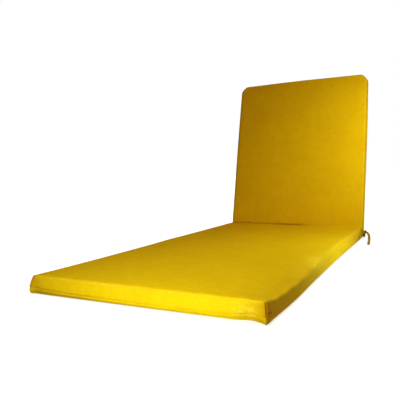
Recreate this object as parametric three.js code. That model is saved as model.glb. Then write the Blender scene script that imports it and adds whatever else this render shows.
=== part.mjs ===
// Sun lounger cushion, opened as it lies on a lounger with its back raised.
//
// One filled cushion, 1914 x 600 mm when flat: a long seat section that lies on
// the ground and a back section that leans a little past upright. A sewn fold
// joins the two, tight on the upper side and open as a V underneath. A knotted
// cloth tie is sewn into the right-hand end of the fold.
//
// Millimetres, +Z up. The foot end is towards -Y and the head end towards +Y.
// The origin is the middle of the seat section's underside.

import * as THREE from "three";
import { mergeVertices } from "three/addons/utils/BufferGeometryUtils.js";

// The cushion laid flat.
const width = 600;
const seatLength = 1240;
const backLength = 674;
const edgeThickness = 43;
const crown = 5;

// The back leans this many degrees behind upright.
const backLean = 12;

// Rounding of the edges, and of the corners as seen from above. Where a side of
// the seat section has two values, they are for its front and its rear.
const footUpperRadius = 11;
const seatUpperRadius = { left: [8, 5], right: [5, 13] };
const backUpperRadius = 6;
const undersideRadius = 9;
const footCornerUpperRadius = 4;
const footCornerRadius = 5;
const earRadius = 6;
const headCornerRadii = { left: 40, right: 35 };

// The boxing seam runs round the whole cushion, low on its wall, and climbs a
// little into the two foot corners.
const seamHeight = 11;
const seamDepth = 2;
const seamHalfWidth = 1.6;
const seamClimb = 7;

// The wall leans in towards the upper face and is drawn in between the corners,
// which leaves the two lower foot corners standing out as points.
const seatSideLean = { left: [6, 0], right: [5, 8] };
const backSideLean = 4;
const footLean = 12;
const headLean = 4;
const sideDraw = 4;
const sideBulge = { amount: 2.6, at: 210, halfWidth: 130 };
const foldDraw = 3.5;
const footDraw = 6.2;
const footSkew = 5.5;
const footPinch = {
  left: { amount: 4, at: 10, halfWidth: 17 },
  right: { amount: 9.5, at: 43, halfWidth: 21 },
};
const headBow = { left: 6, right: -0.8 };
const headTaper = { left: 2.2, right: 3.4 };
const cornerReach = 28;
const earReach = 11;
const headReach = 180;
const sideWave = 0.8;
const wallReach = 45;
const crownReach = 60;

// The sewn fold: a tight crease above, a V below, and a waist at each side.
const creaseDepth = 5;
const creaseHalfWidth = 7;
const notchDepth = 20;
const notchHalfWidth = 20;
const waistDepth = 5;
const waistHalfWidth = 13;
const waistShift = 8;
const mitreReach = 45;

// Rows of points: in from an edge, out from the fold, and up the wall.
const edgeRows = [0, 2, 5, 9, 14, 22, 32, 45, 65, 95, 150, 220];
const foldRows = [3, 7, 12, 20, 32, 50, 80];
const wallRows = [0, 2, 5.5, 9, seamHeight, 13, 20, 30, 35, 39, edgeThickness];
const longestStep = 120;

// The tie: a flat strap of the cover's cloth. The knot is given as rings along
// the strap that leaves the fold, the two loose ends as routes of their middle.
const strapWidth = 10;
const strapThickness = 2.4;
const strapStep = 7;
const strapSides = 12;
const knotSides = 24;
const knotRoot = [291.8, 628, 30];
const knotTip = [310.3, 627, 23];
const knotRings = [
  { reach: 0, high: 4.8, deep: 1.3 },
  { reach: 2, high: 4.4, deep: 1.8 },
  { reach: 3.5, high: 4.6, deep: 2.8 },
  { reach: 4.8, high: 5.4, deep: 4.4 },
  { reach: 6.4, high: 6.2, deep: 5.5 },
  { reach: 8.2, high: 6.7, deep: 6.0 },
  { reach: 10.2, high: 6.9, deep: 6.2 },
  { reach: 12.2, high: 6.8, deep: 6.1 },
  { reach: 14.2, high: 6.3, deep: 5.7 },
  { reach: 16, high: 5.5, deep: 5.0 },
  { reach: 17.4, high: 4.4, deep: 4.0 },
  { reach: 18.3, high: 3.1, deep: 2.9 },
];
const tailRoute = [
  { x: 305.5, y: 620.6, z: 27, twist: 40 },
  { x: 315.2, y: 610.5, z: 24, twist: 30 },
  { x: 323.5, y: 598, z: 15, twist: 14 },
  { x: 327, y: 580, z: 6.2, twist: 4 },
  { x: 329.5, y: 555, z: 2.2, twist: 0 },
  { x: 332.5, y: 525, z: 1.6, twist: 0 },
  { x: 334.5, y: 497, z: 1.6, twist: 0 },
  { x: 338.5, y: 465, z: 1.6, twist: 0 },
  { x: 341.5, y: 433, z: 1.6, twist: 0 },
];
const shortEndRoute = [
  { x: 300.4, y: 628.5, z: 19.4, twist: 0 },
  { x: 299.6, y: 632, z: 9.5, twist: 0 },
  { x: 298.6, y: 640, z: 3.8, twist: 0 },
  { x: 296, y: 652, z: 1.8, twist: 0 },
  { x: 293, y: 668, z: 1.6, twist: 0 },
  { x: 288, y: 688, z: 1.6, twist: 0 },
];

const clothColour = 0xd9a908;
const tieColour = 0x8f6a14;

const half = width / 2;
const totalLength = seatLength + backLength;
const lean = THREE.MathUtils.degToRad(backLean);
const mitre = Math.tan((Math.PI / 2 - lean) / 2);

// How far a quarter-round lip has dropped at a share of its width.
function lip(share) {
  const near = Math.max(0, 1 - share);
  return 1 - Math.sqrt(1 - near * near);
}

// Rises from 0 at an edge to 1 well inside it.
function rise(distance, reach) {
  return 1 - Math.exp(-distance / reach);
}

// Falls smoothly from 1 at the middle of a feature to 0 outside it.
function bell(distance, halfWidth) {
  return Math.exp(-((distance / halfWidth) ** 2));
}

// The places of the rows across an even stretch between two others.
function steps(from, to) {
  const count = Math.ceil((to - from) / longestStep);
  return Array.from({ length: count - 1 }, (_, n) => from + ((to - from) * (n + 1)) / count);
}

function rowsAcross() {
  const right = edgeRows.map((row) => half - row).reverse();
  const left = right.map((row) => -row).reverse();
  return [...left, 0, ...right];
}

function rowsAlong() {
  const lastEdge = edgeRows.at(-1);
  const lastFold = foldRows.at(-1);
  return [
    ...edgeRows,
    ...steps(lastEdge, seatLength - lastFold),
    ...foldRows.map((row) => seatLength - row).reverse(),
    seatLength,
    ...foldRows.map((row) => seatLength + row),
    ...steps(seatLength + lastFold, totalLength - lastEdge),
    ...edgeRows.map((row) => totalLength - row).reverse(),
  ];
}

// Rounds the square edge between the wall and a face, in cross-section.
function soften(inset, height, lowRadius, highRadius) {
  const radius = height > edgeThickness / 2 ? highRadius : lowRadius;
  const centre = new THREE.Vector2(
    Math.max(inset, radius),
    THREE.MathUtils.clamp(height, lowRadius, edgeThickness - highRadius),
  );
  const spoke = new THREE.Vector2(inset, height).sub(centre).setLength(radius);
  return centre.add(spoke);
}

// Moves a point of a plain 600 x 1914 x 43 box onto the flat cushion's skin.
function shapeFlat(across, along, height) {
  const atFoot = along < seatLength;
  const side = across < 0 ? "left" : "right";
  const fromSide = half - Math.abs(across);
  const fromEnd = atFoot ? along : totalLength - along;
  const fromFold = Math.abs(along - seatLength);
  const onSeat = THREE.MathUtils.smoothstep(seatLength - along, -creaseHalfWidth, creaseHalfWidth);
  const nearCorner = atFoot ? bell(Math.hypot(fromSide, fromEnd), cornerReach) : 0;
  const toRear = THREE.MathUtils.smoothstep(along, 200, 750);

  // The rounded edge, then the rounded corner.
  const depth = Math.min(fromSide, fromEnd);
  const lowRadius = THREE.MathUtils.lerp(undersideRadius, earRadius, nearCorner);
  const onSide = THREE.MathUtils.smoothstep(fromEnd - fromSide, -20, 20);
  const sideRadius = THREE.MathUtils.lerp(...seatUpperRadius[side], toRear);
  const seatRadius = THREE.MathUtils.lerp(footUpperRadius, sideRadius, onSide);
  const sectionRadius = THREE.MathUtils.lerp(backUpperRadius, seatRadius, onSeat);
  const highRadius = THREE.MathUtils.lerp(sectionRadius, footCornerUpperRadius, nearCorner);
  const edge = soften(depth, height, lowRadius, highRadius);
  const up = edge.y / edgeThickness;
  const radius = atFoot ? footCornerRadius : headCornerRadii[side];
  let inSide = fromSide;
  let inEnd = fromEnd;
  if (fromSide < radius && fromEnd < radius) {
    const reach = Math.max(0, radius - edge.x);
    const spoke = new THREE.Vector2(radius - fromSide, radius - fromEnd).setLength(reach);
    inSide = radius - spoke.x;
    inEnd = radius - spoke.y;
  } else if (fromSide < fromEnd) {
    inSide += edge.x - depth;
  } else {
    inEnd += edge.x - depth;
  }

  // The lean of the wall, its draw between corners, the seam and the waist.
  const slope = up ** 2;
  const seam = seamDepth * (1 - 0.6 * nearCorner) * bell(edge.y - seamHeight, seamHalfWidth);
  const wave = sideWave * Math.sin((along / seatLength) * Math.PI * 3 + Math.sign(across));
  const seatLean = THREE.MathUtils.lerp(...seatSideLean[side], toRear);
  const cornerLean = side === "left" ? 1 - 0.3 * nearCorner : 1;
  const sideLean = THREE.MathUtils.lerp(backSideLean, seatLean * cornerLean, onSeat);
  const share = along / seatLength;
  const bulge = side === "right" ? sideBulge.amount * bell(along - sideBulge.at, sideBulge.halfWidth) : 0;
  const seatDraw = (sideDraw + wave) * Math.sin(Math.PI * share) ** 2 - bulge;
  const footSideSet = seatDraw + foldDraw * share ** 2;
  const headSideSet = foldDraw + headTaper[side] * bell(fromEnd, headReach);
  const sideSet = sideLean * slope + (atFoot ? footSideSet : headSideSet);
  const waist = waistDepth * bell(along - seatLength + waistShift, waistHalfWidth);
  const pinch = footPinch[side].amount * bell(fromSide - footPinch[side].at, footPinch[side].halfWidth);
  const plainDraw = footDraw + (footSkew * across) / half + pinch;
  const footSet = footLean * slope + plainDraw * (1 - bell(fromSide, earReach)) * (1 - slope);
  const headSet = headLean * slope + headBow[side] * bell(fromSide, headReach);
  const endSet = atFoot ? footSet : headSet;
  inSide += (sideSet + seam + waist) * Math.exp(-fromSide / wallReach);
  inEnd += (endSet + seam) * Math.exp(-fromEnd / wallReach);

  // The crown above, the crease and the V of the fold.
  const spread = rise(fromSide, crownReach) * rise(fromEnd, crownReach) * rise(fromFold, crownReach);
  const upper = edgeThickness + crown * spread - creaseDepth * lip(fromFold / creaseHalfWidth);
  const under = notchDepth * lip(fromFold / notchHalfWidth);
  const aboveSeam = (1 - up) / (1 - seamHeight / edgeThickness);
  const climb = seamClimb * nearCorner * Math.min(edge.y / seamHeight, aboveSeam);
  return new THREE.Vector3(
    Math.sign(across) * (half - inSide),
    atFoot ? inEnd : totalLength - inEnd,
    THREE.MathUtils.lerp(under, upper, up) + climb,
  );
}

// Folds the flat cushion up at the fold, pivoting on the crease line.
function foldUp(point) {
  const past = point.y - seatLength;
  const below = edgeThickness - point.z;
  const slant = below * mitre * bell(past, mitreReach);
  const y = past + Math.sign(seatLength - point.y || 1) * slant;
  if (past <= 0) {
    return new THREE.Vector3(point.x, y + seatLength / 2, point.z);
  }
  return new THREE.Vector3(
    point.x,
    seatLength / 2 + y * Math.sin(lean) + below * Math.cos(lean),
    edgeThickness + y * Math.cos(lean) - below * Math.sin(lean),
  );
}

function cushionGeometry() {
  const across = rowsAcross();
  const along = rowsAlong();
  const spans = [across.length - 1, along.length - 1, wallRows.length - 1];
  const box = new THREE.BoxGeometry(1, 1, 1, ...spans);
  box.deleteAttribute("normal");
  box.deleteAttribute("uv");
  const skin = mergeVertices(box);
  const corners = skin.attributes.position;
  const rowOf = (share, span) => Math.round((share + 0.5) * span);
  for (let n = 0; n < corners.count; n += 1) {
    const flat = shapeFlat(
      across[rowOf(corners.getX(n), spans[0])],
      along[rowOf(corners.getY(n), spans[1])],
      wallRows[rowOf(corners.getZ(n), spans[2])],
    );
    const place = foldUp(flat);
    corners.setXYZ(n, place.x, place.y, place.z);
  }
  skin.computeVertexNormals();
  return skin;
}

// Skins a row of rings into one closed piece with flat ends. Each ring has a
// middle and the two half-sizes of its oblong section as vectors.
function skinRings(rings, sides, swell = () => 1) {
  const points = [];
  const faces = [];
  rings.forEach((ring, row) => {
    for (let n = 0; n < sides; n += 1) {
      const turn = (2 * Math.PI * n) / sides;
      const size = swell(turn, row);
      const out = Math.sign(Math.cos(turn)) * Math.abs(Math.cos(turn)) ** ring.square * size;
      const aside = Math.sign(Math.sin(turn)) * Math.abs(Math.sin(turn)) ** ring.square * size;
      points.push(ring.middle.clone().addScaledVector(ring.wide, out).addScaledVector(ring.deep, aside));
    }
  });
  for (let row = 0; row + 1 < rings.length; row += 1) {
    for (let n = 0; n < sides; n += 1) {
      const here = row * sides + n;
      const next = row * sides + ((n + 1) % sides);
      faces.push(here, next, next + sides, here, next + sides, here + sides);
    }
  }
  const first = points.length;
  const last = first + 1;
  points.push(rings[0].middle, rings.at(-1).middle);
  const lastRow = (rings.length - 1) * sides;
  for (let n = 0; n < sides; n += 1) {
    const next = (n + 1) % sides;
    faces.push(first, next, n, last, lastRow + n, lastRow + next);
  }
  const skin = new THREE.BufferGeometry().setFromPoints(points);
  skin.setIndex(faces);
  skin.computeVertexNormals();
  return skin;
}

// A flat strap along a route, its width level but for the twist in degrees.
function strapGeometry(route) {
  const curve = new THREE.CatmullRomCurve3(route.map((row) => new THREE.Vector3(row.x, row.y, row.z)));
  const count = Math.round(curve.getLength() / strapStep);
  const rings = Array.from({ length: count + 1 }, (_, n) => {
    const share = curve.getUtoTmapping(n / count);
    const place = share * (route.length - 1);
    const row = Math.min(Math.floor(place), route.length - 2);
    const twist = THREE.MathUtils.lerp(route[row].twist, route[row + 1].twist, place - row);
    const tangent = curve.getTangent(share);
    const wide = new THREE.Vector3(0, 0, 1).cross(tangent).normalize();
    wide.applyAxisAngle(tangent, THREE.MathUtils.degToRad(twist));
    const deep = tangent.clone().cross(wide);
    return {
      middle: curve.getPoint(share),
      wide: wide.multiplyScalar(strapWidth / 2),
      deep: deep.multiplyScalar(strapThickness / 2),
      square: 0.45,
    };
  });
  return skinRings(rings, strapSides);
}

// The knot, with the strap's root at its inner end and two turns wound round it.
function knotGeometry() {
  const root = new THREE.Vector3(...knotRoot);
  const axis = new THREE.Vector3(...knotTip).sub(root).normalize();
  const deep = new THREE.Vector3(0, 0, 1).cross(axis).normalize();
  const high = axis.clone().cross(deep);
  const rings = knotRings.map((row) => ({
    middle: root.clone().addScaledVector(axis, row.reach),
    wide: deep.clone().multiplyScalar(row.deep),
    deep: high.clone().multiplyScalar(row.high),
    square: 0.9,
  }));
  const turns = (turn, row) => {
    const { reach } = knotRings[row];
    const wound = THREE.MathUtils.smoothstep(reach, 5, 9);
    return 1 - 0.16 * wound * (1 - Math.abs(Math.cos(turn + reach * 0.22)) ** 0.7);
  };
  return skinRings(rings, knotSides, turns);
}

function finish(colour) {
  return new THREE.MeshStandardMaterial({ color: colour, roughness: 0.85, metalness: 0 });
}

const pieces = [
  { name: "cushion", skin: cushionGeometry(), colour: clothColour },
  { name: "tie_knot", skin: knotGeometry(), colour: tieColour },
  { name: "tie_tail", skin: strapGeometry(tailRoute), colour: tieColour },
  { name: "tie_short_end", skin: strapGeometry(shortEndRoute), colour: tieColour },
];

const lounger = new THREE.Group();
for (const piece of pieces) {
  const mesh = new THREE.Mesh(piece.skin, finish(piece.colour));
  mesh.name = piece.name;
  lounger.add(mesh);
}

export default lounger;
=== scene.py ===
# Sun lounger cushion: padded cover, seams and knotted tie, dressed over the packed
# solids. Metres, +Z up, head end towards +Y.

from math import atan2, ceil, copysign, cos, exp, hypot, pi, radians, sin, sqrt, tan

import bpy
import bmesh
from mathutils import Matrix, Vector, noise
from mathutils.bvhtree import BVHTree
from mathutils.interpolate import poly_3d_calc


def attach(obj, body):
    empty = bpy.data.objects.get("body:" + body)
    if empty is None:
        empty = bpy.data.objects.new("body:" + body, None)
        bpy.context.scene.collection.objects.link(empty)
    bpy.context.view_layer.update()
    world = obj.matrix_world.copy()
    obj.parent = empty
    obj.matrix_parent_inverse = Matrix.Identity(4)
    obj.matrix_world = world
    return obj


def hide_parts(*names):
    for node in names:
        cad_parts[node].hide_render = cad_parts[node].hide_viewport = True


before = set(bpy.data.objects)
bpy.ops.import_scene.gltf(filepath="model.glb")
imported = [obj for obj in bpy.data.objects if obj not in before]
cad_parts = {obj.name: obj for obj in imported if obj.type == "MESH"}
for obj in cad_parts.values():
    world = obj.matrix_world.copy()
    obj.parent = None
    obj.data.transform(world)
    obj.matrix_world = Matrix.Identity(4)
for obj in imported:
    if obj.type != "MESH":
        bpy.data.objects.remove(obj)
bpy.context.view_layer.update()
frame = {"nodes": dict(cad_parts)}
scene = bpy.context.scene
putInScene = scene.collection.objects.link
print("frame loaded:", ", ".join(frame["nodes"]))

# Camera, placed as the photographer stood, low by the foot end's right corner.
cameraSet = {
    "place": (0.5761, -1.4359, 0.2875),
    "turn": 26.7661,  # degrees to the left of straight along +Y
    "dip": 3.5008,  # degrees below level
    "roll": -0.8509,
    "focalShare": 1.18537,  # focal length in image widths
    "sensor": 36.0,  # mm
    "sees": (0.02, 60),  # near, far
}


def addCamera(kit):
    data = bpy.data.cameras.new("studioCamera")
    data.sensor_width = kit["sensor"]
    data.lens = kit["sensor"] * kit["focalShare"]
    data.clip_start, data.clip_end = kit["sees"]
    camera = bpy.data.objects.new("studioCamera", data)
    turn = Matrix.Rotation(radians(kit["turn"]), 4, "Z")
    tilt = Matrix.Rotation(radians(90 - kit["dip"]), 4, "X")
    roll = Matrix.Rotation(radians(kit["roll"]), 4, "Z")
    camera.matrix_world = Matrix.Translation(kit["place"]) @ turn @ tilt @ roll
    putInScene(camera)
    scene.camera = camera


addCamera(cameraSet)
print("camera placed")


def bell(distance, reach):
    return exp(-((distance / reach) ** 2))


def easeIn(distance, reach):
    return 1 - exp(-distance / reach)


def lip(share):  # how far a quarter-round lip has dropped
    near = max(0.0, 1 - share)
    return 1 - sqrt(1 - near * near)


def mix(a, b, share):
    return a + (b - a) * share


def inShare(value):  # kept from 0 to 1
    return min(1.0, max(0.0, value))


def smooth(value, low, high):
    share = inShare((value - low) / (high - low))
    return share * share * (3 - 2 * share)


def between(stops, value):  # straight lines from stop to stop
    for (low, first), (high, second) in zip(stops, stops[1:]):
        if value <= high:
            return mix(first, second, max(0.0, (value - low) / (high - low)))
    return stops[-1][1]


def rough(x, y, z=0.0):  # soft noise about 0
    return noise.noise(Vector((x, y, z)))


def addPiece(name, points, faces, material, body="root"):
    mesh = bpy.data.meshes.new(name)
    mesh.from_pydata(points, [], faces)
    mesh.validate()
    mesh.update()
    mesh.shade_smooth()
    mesh.materials.append(material)
    piece = bpy.data.objects.new(name, mesh)
    putInScene(piece)
    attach(piece, body)
    return piece


# Materials, read from the cloth's own flat coordinates in metres, kept as "grain".
def startMaterial(name):
    material = bpy.data.materials.new(name)
    material.use_nodes = True
    tree = material.node_tree
    tree.nodes.clear()
    out = tree.nodes.new("ShaderNodeOutputMaterial")
    shader = tree.nodes.new("ShaderNodeBsdfPrincipled")
    tree.links.new(shader.outputs["BSDF"], out.inputs["Surface"])
    return material, tree, shader


def feed(tree, socket, value):
    if isinstance(value, bpy.types.NodeSocket):
        tree.links.new(value, socket)
    else:
        socket.default_value = value


def feedAll(tree, node, sockets):
    for name, value in sockets.items():
        feed(tree, node.inputs[name], value)


def addNode(tree, kind, sockets):
    node = tree.nodes.new(kind)
    feedAll(tree, node, sockets)
    return node


def calc(tree, operation, first, second=0.0, third=0.0):
    node = addNode(tree, "ShaderNodeMath", {0: first, 1: second, 2: third})
    node.operation = operation
    return node.outputs[0]


def times(tree, first, second):
    return calc(tree, "MULTIPLY", first, second)


def stretched(tree, vector, scale):
    node = addNode(tree, "ShaderNodeVectorMath", {0: vector, 1: scale})
    node.operation = "MULTIPLY"
    return node.outputs[0]


def cloudy(tree, vector, scale, detail=2.0, roughness=0.5):
    sockets = {"Vector": vector, "Scale": scale, "Detail": detail, "Roughness": roughness}
    return addNode(tree, "ShaderNodeTexNoise", sockets).outputs["Fac"]


def span(tree, value, low, high, toLow=0.0, toHigh=1.0):
    sockets = {"Value": value, "From Min": low, "From Max": high, "To Min": toLow, "To Max": toHigh}
    node = addNode(tree, "ShaderNodeMapRange", sockets)
    node.interpolation_type = "SMOOTHSTEP"
    return node.outputs["Result"]


def blendColour(tree, share, first, second, way="MIX"):
    node = tree.nodes.new("ShaderNodeMix")
    node.data_type = "RGBA"
    node.blend_type = way
    feedAll(tree, node, {"Factor": share, "A": first, "B": second})
    return node.outputs["Result"]


def tinted(tree, colour, tint, share, most):
    return blendColour(tree, times(tree, share, most), colour, tint)


def markOn(tree, name, output="Fac"):  # what the mesh keeps under this name
    node = tree.nodes.new("ShaderNodeAttribute")
    node.attribute_name = name
    return node.outputs[output]


coverCloth = {
    "yellow": (0.76, 0.505, 0.004, 1),
    "deeper": (0.64, 0.385, 0.002, 1),
    "paler": (0.86, 0.62, 0.012, 1),
    "nep": (0.9, 0.74, 0.1, 1),
    # colour of real wear, and of painted highlights
    "paleWearAndLight": (0.94, 0.64, 0.08, 1),
    # painted shade, laid into the seams, beside the corner, in the crease slit and along the fold
    "creviceShade": (0.28, 0.018, 0.0, 1),
    # painted shade on walls and edges
    "paintedShade": (0.06, 0.04, 0.003, 1),
    "yarn": 0.0011,  # from one yarn to the next
    "slubLength": 0.03,
    "slubWidth": 0.0028,
    "roughness": 0.78,
    "sheen": 0.18,
}

# The strap is cut from the cover's cloth; its colours are painted darker, as painted shade.
shadedTieCloth = {
    "yellow": (0.36, 0.245, 0.05, 1),
    "deeper": (0.2, 0.12, 0.025, 1),
    "paler": (0.48, 0.36, 0.1, 1),
    "nep": (0.48, 0.34, 0.09, 1),
    # pale colour, used as painted light on the knot
    "paleWearAndLight": (0.68, 0.5, 0.18, 1),
    # painted shade, laid into the knot's turns and hollows and along the strap
    "creviceShade": (0.05, 0.028, 0.004, 1),
    # painted shade
    "paintedShade": (0.05, 0.034, 0.004, 1),
    "yarn": 0.0009,
    "slubLength": 0.02,
    "slubWidth": 0.0016,
    "roughness": 0.82,
    "sheen": 0.1,
}

canvas = {  # what both cloths share; a pair says where a thing begins and is full
    "weftSlub": (0.62, 0.78),
    "warpSlub": (0.66, 0.8),
    "warpSlubShare": 0.8,
    "slubPale": 0.62,
    "thinPlace": {"longer": 1.7, "wider": 1.3, "shown": (0.36, 0.26), "dark": 0.75},
    "cloud": {"scale": 7.0, "shown": (0.3, 0.75), "most": 0.42},
    "streak": {"long": 9.0, "thin": 110.0, "weft": 0.11, "warp": 0.13},
    "patch": {"scale": 38.0, "most": 0.35},
    "mottle": (0.36, 0.7),
    "yarnGap": {"upTo": 0.55, "shade": 0.8},
    "nep": {"scale": 26.0, "rare": 0.72, "size": (0.045, 0.012), "pale": 0.75},
    "paleFuzz": {"scale": 160.0, "shown": (0.38, 0.62), "least": 0.25},
    "markShare": 0.92,  # how far each painted shade covers the dye
    "relief": {"slub": 0.9, "weave": 0.55, "nep": 1.4, "strength": 0.45, "depth": 0.0004},
    "roughnessRange": (-0.05, 0.08),
    "specular": 0.1,
    "sheenRoughness": 0.45,
    "sheenTint": (1.0, 0.72, 0.02, 1),
}


def plainWeave(tree, flat, yarn):  # over and under from one yarn to the next
    parts = addNode(tree, "ShaderNodeSeparateXYZ", {0: flat})
    weft, warp = (calc(tree, "SINE", times(tree, parts.outputs[axis], pi / yarn)) for axis in "YX")
    return calc(tree, "MULTIPLY_ADD", times(tree, weft, warp), 0.5, 0.5)


def slubs(tree, flat, kit):  # long thick places in the yarns, and short thin ones
    long = 1 / kit["slubLength"]
    thin = 1 / kit["slubWidth"]
    across = cloudy(tree, stretched(tree, flat, (long, thin, 1)), 1.0, 1.5)
    along = cloudy(tree, stretched(tree, flat, (thin, long, 1)), 1.0, 1.5)
    inWarp = times(tree, span(tree, along, *canvas["warpSlub"]), canvas["warpSlubShare"])
    thick = calc(tree, "MAXIMUM", span(tree, across, *canvas["weftSlub"]), inWarp)
    spare = canvas["thinPlace"]
    drawn = stretched(tree, flat, (spare["longer"] * long, spare["wider"] * thin, 1))
    return thick, span(tree, cloudy(tree, drawn, 1.0, 1.0), *spare["shown"])


def unevenDye(tree, flat, cloud, kit):  # in broad clouds, along the yarns and in patches
    share = span(tree, cloud, *canvas["cloud"]["shown"], 0.0, canvas["cloud"]["most"])
    colour = blendColour(tree, share, kit["yellow"], kit["deeper"])
    streak, patch = canvas["streak"], canvas["patch"]
    weftStreak = stretched(tree, flat, (streak["long"], streak["thin"], 1))
    warpStreak = stretched(tree, flat, (streak["thin"], streak["long"], 1))
    for mottle, most in (
        (cloudy(tree, weftStreak, 1.0, 3.0, 0.65), streak["weft"]),
        (cloudy(tree, warpStreak, 1.0, 3.0, 0.65), streak["warp"]),
        (cloudy(tree, flat, patch["scale"], 2.0, 0.6), patch["most"]),
    ):
        share = span(tree, mottle, *canvas["mottle"], 0.0, most)
        colour = blendColour(tree, share, colour, kit["deeper"])
    return colour


def neps(tree, flat):  # small pale knots of fibre
    kit = canvas["nep"]
    dots = addNode(tree, "ShaderNodeTexVoronoi", {"Vector": flat, "Scale": kit["scale"]})
    lot = addNode(tree, "ShaderNodeSeparateColor", {0: dots.outputs["Color"]})
    rare = calc(tree, "GREATER_THAN", lot.outputs[0], kit["rare"])
    return times(tree, span(tree, dots.outputs["Distance"], *kit["size"]), rare)


def slubCanvas(name, kit):
    material, tree, shader = startMaterial(name)
    flat = markOn(tree, "grain", "Vector")
    weave = plainWeave(tree, flat, kit["yarn"])
    thick, lean = slubs(tree, flat, kit)
    cloud = cloudy(tree, flat, canvas["cloud"]["scale"], 3.0, 0.6)
    nep = neps(tree, flat)

    colour = unevenDye(tree, flat, cloud, kit)
    colour = tinted(tree, colour, kit["paler"], thick, canvas["slubPale"])
    colour = tinted(tree, colour, kit["deeper"], lean, canvas["thinPlace"]["dark"])
    gap = canvas["yarnGap"]
    shade = span(tree, weave, 0.0, gap["upTo"], gap["shade"], 1.0)
    grey = addNode(tree, "ShaderNodeCombineColor", {0: shade, 1: shade, 2: shade})
    colour = blendColour(tree, 1.0, colour, grey.outputs[0], "MULTIPLY")
    colour = tinted(tree, colour, kit["nep"], nep, canvas["nep"]["pale"])
    fuzzy = canvas["paleFuzz"]
    fuzz = cloudy(tree, flat, fuzzy["scale"], 2.0, 0.6)
    lightened = span(tree, fuzz, *fuzzy["shown"], fuzzy["least"], 1.0)
    # real wear along the rims, with painted highlights and painted light
    colour = tinted(tree, colour, kit["paleWearAndLight"], markOn(tree, "wearAndPaintedLight"), lightened)
    # painted shade in crevices, then painted shade on walls and edges
    for mark in ("creviceShade", "paintedShade"):
        colour = tinted(tree, colour, kit[mark], markOn(tree, mark), canvas["markShare"])

    raised = canvas["relief"]
    relief = calc(tree, "MULTIPLY_ADD", thick, raised["slub"], times(tree, weave, raised["weave"]))
    relief = calc(tree, "ADD", relief, times(tree, nep, raised["nep"]))
    sockets = {"Height": relief, "Strength": raised["strength"], "Distance": raised["depth"]}
    bump = addNode(tree, "ShaderNodeBump", sockets)
    smoother, rougher = (kit["roughness"] + more for more in canvas["roughnessRange"])
    feedAll(tree, shader, {
        "Base Color": colour,
        "Roughness": span(tree, cloud, 0.3, 0.8, smoother, rougher),
        "Specular IOR Level": canvas["specular"],
        "Sheen Weight": kit["sheen"],
        "Sheen Roughness": canvas["sheenRoughness"],
        "Sheen Tint": canvas["sheenTint"],
        "Normal": bump.outputs["Normal"],
    })
    return material


coverMaterial = slubCanvas("yellowSlubCanvas", coverCloth)
shadedTieMaterial = slubCanvas("shadedStrapCanvas", shadedTieCloth)
print("cloth materials made")

# The tie. Its loose ends follow the solids' routes to a few millimetres. Each row is
# the middle of the strap and its twist in degrees.
tie = {
    "width": 0.01,
    "thickness": 0.0022,
    "ringStep": 0.0022,
    "sides": 20,
    "section": (0.45, 0.6),  # how square: the lower, the squarer
    "bead": {"at": 0.82, "reach": 0.1, "thicker": 0.35},  # the turned-in edges
    "hem": {"at": 0.003, "thicker": 0.28},
    "cup": 0.0004,  # how far the strap curls across
    "shade": {"start": 1.0, "startReach": 0.013, "end": 0.72, "endFrom": (0.12, 0.17)},
    "tail": (
        (0.3058, 0.6215, 0.0268, 14), (0.3155, 0.6105, 0.0222, 10), (0.3226, 0.598, 0.0142, 6),
        (0.3262, 0.58, 0.0064, 2), (0.3293, 0.555, 0.0024, 0), (0.3328, 0.525, 0.0017, 0),
        (0.3352, 0.497, 0.0017, 0), (0.339, 0.465, 0.0017, 0), (0.342, 0.4352, 0.0016, 0)),
    "shortEnd": (
        (0.3004, 0.6282, 0.0215, 0), (0.2996, 0.632, 0.0095, 0), (0.2986, 0.64, 0.0038, 0),
        (0.296, 0.652, 0.0018, 0), (0.293, 0.668, 0.0016, 0), (0.288, 0.688, 0.0016, 0)),
}


def curveThrough(points, step, finely=24):  # even points on a smooth curve
    rows = [Vector(p) for p in points]
    guide = [rows[0] * 2 - rows[1], *rows, rows[-1] * 2 - rows[-2]]
    fine = []
    for n in range(1, len(guide) - 2):
        a, b, c, d = guide[n - 1:n + 3]
        for m in range(finely):
            t = m / finely
            near = b * 2 + (c - a) * t + (a * 2 - b * 5 + c * 4 - d) * t * t
            fine.append((near + (b * 3 - a - c * 3 + d) * t ** 3) / 2)
    fine.append(rows[-1].copy())
    total = sum((q - p).length for p, q in zip(fine, fine[1:]))
    count = max(2, round(total / step))
    even = [fine[0]]
    walked = 0.0
    for p, q in zip(fine, fine[1:]):
        length = (q - p).length
        while len(even) <= count and walked + length >= total * len(even) / count - 1e-9:
            share = (total * len(even) / count - walked) / max(length, 1e-12)
            even.append(p.lerp(q, min(1.0, share)))
        walked += length
    return even


def skinRings(rings, closed=False):
    sides = len(rings[0])
    points = [p for ring in rings for p in ring]
    faces = []
    for row in range(len(rings) if closed else len(rings) - 1):
        ahead = (row + 1) % len(rings) * sides
        for n in range(sides):
            after = (n + 1) % sides
            faces.append((row * sides + n, row * sides + after, ahead + after, ahead + n))
    if closed:
        return points, faces
    for start, way in ((0, -1), (len(points) - sides, 1)):
        points.append(sum(points[start:start + sides], Vector()) / sides)
        hub = len(points) - 1
        for n in range(sides):
            faces.append((hub, *(start + n, start + (n + 1) % sides)[::way]))
    return points, faces


def squared(turn, wide, tall):  # a round section pressed square
    c = cos(turn)
    s = sin(turn)
    return copysign(abs(c) ** wide, c), copysign(abs(s) ** tall, s)


def keepGrain(piece, rows):  # the cloth's flat coordinates, one for each point
    grain = piece.data.attributes.new("grain", "FLOAT_VECTOR", "POINT")
    grain.data.foreach_set("vector", [value for row in rows for value in row])


def keepMarks(piece, name, values):
    marks = piece.data.attributes.new(name, "FLOAT", "POINT")
    marks.data.foreach_set("value", values)


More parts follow.
